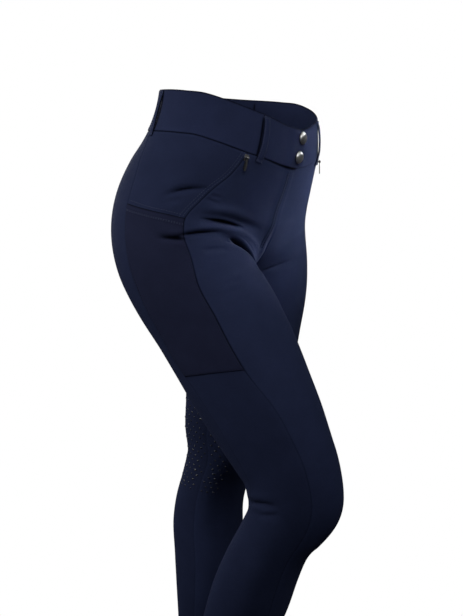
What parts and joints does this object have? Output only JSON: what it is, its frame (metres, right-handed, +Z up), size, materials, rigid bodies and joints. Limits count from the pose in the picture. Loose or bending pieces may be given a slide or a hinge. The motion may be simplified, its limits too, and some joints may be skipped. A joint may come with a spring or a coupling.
{
  "type": "riding breeches",
  "caption": "Close-fitting riding breeches held open in a stepping pose, with a press-stud waistband, belt loops, slanted zip pockets and a patch pocket on each thigh.",
  "frame": {"origin": "centre of the waistband's top opening, where the wearer's waist holds the breeches up", "axes": "+X to the wearer's left, -Y to the wearer's front, +Z up"},
  "size_m": [0.3663, 0.3466, 0.8798],
  "materials": {
    "front cloth": "smooth stretch twill, slight sheen",
    "side cloth": "smooth stretch twill, slight sheen",
    "back cloth": "smooth stretch twill, slight sheen",
    "pocket cloth": "smooth stretch knit, matt",
    "waistband cloth": "smooth stretch twill, slight sheen",
    "loop cloth": "smooth twill",
    "stud metal": "polished gunmetal",
    "zip metal": "polished nickel"
  },
  "bodies": {
    "garment": {"waistband_back": "waistband cloth", "waistband_front_right": "waistband cloth", "waistband_front_left": "waistband cloth", "front_right": "front cloth", "front_left": "front cloth", "side_right": "side cloth", "side_left": "side cloth", "back_right": "back cloth", "back_left": "back cloth", "thigh_pocket_right": "pocket cloth", "thigh_pocket_left": "pocket cloth", "belt_loop_front_right": "loop cloth", "belt_loop_front_left": "loop cloth", "belt_loop_back_right": "loop cloth", "belt_loop_back_left": "loop cloth", "press_stud_top": "stud metal", "press_stud_low": "stud metal", "zip_slider_right": "zip metal", "zip_slider_left": "zip metal"},
    "pull_right": {"zip_pull_right": "zip metal"},
    "pull_left": {"zip_pull_left": "zip metal"}
  },
  "joints": [
    {"name": "zip_pull_right", "type": "hinge", "parent": "garment", "child": "pull_right", "pos_m": [-0.1043, -0.07434, -0.06775], "axis": [-0.855, 0.4295, 0.2905], "range_deg": [-4, 160]},
    {"name": "zip_pull_left", "type": "hinge", "parent": "garment", "child": "pull_left", "pos_m": [0.1043, -0.07434, -0.06775], "axis": [-0.855, -0.4295, -0.2905], "range_deg": [-4, 160]}
  ]
}
